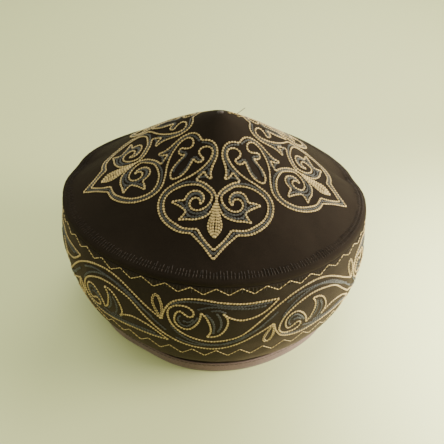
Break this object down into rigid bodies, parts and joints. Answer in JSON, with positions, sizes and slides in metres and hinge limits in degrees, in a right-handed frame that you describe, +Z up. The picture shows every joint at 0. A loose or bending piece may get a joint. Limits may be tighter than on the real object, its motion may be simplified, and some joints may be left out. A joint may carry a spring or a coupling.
{
  "type": "tubeteika skullcap",
  "caption": "Velvet skullcap with a low cone-shaped crown on a tall bulged side band, embroidered with palmettes and a running scroll, with a bound rim.",
  "frame": {"origin": "middle of the rim's outline, on the surface that the cap stands on", "axes": "+Z up to the peak of the crown, the front faces -Y, +X to the right of the front"},
  "size_m": [0.2073, 0.1995, 0.1438],
  "materials": {
    "crown": "velvet pile",
    "side_band": "velvet pile",
    "edge_binding": "smooth woven tape"
  },
  "bodies": {
    "root": {"crown": "crown", "side_band": "side_band", "edge_binding": "edge_binding"}
  },
  "joints": []
}
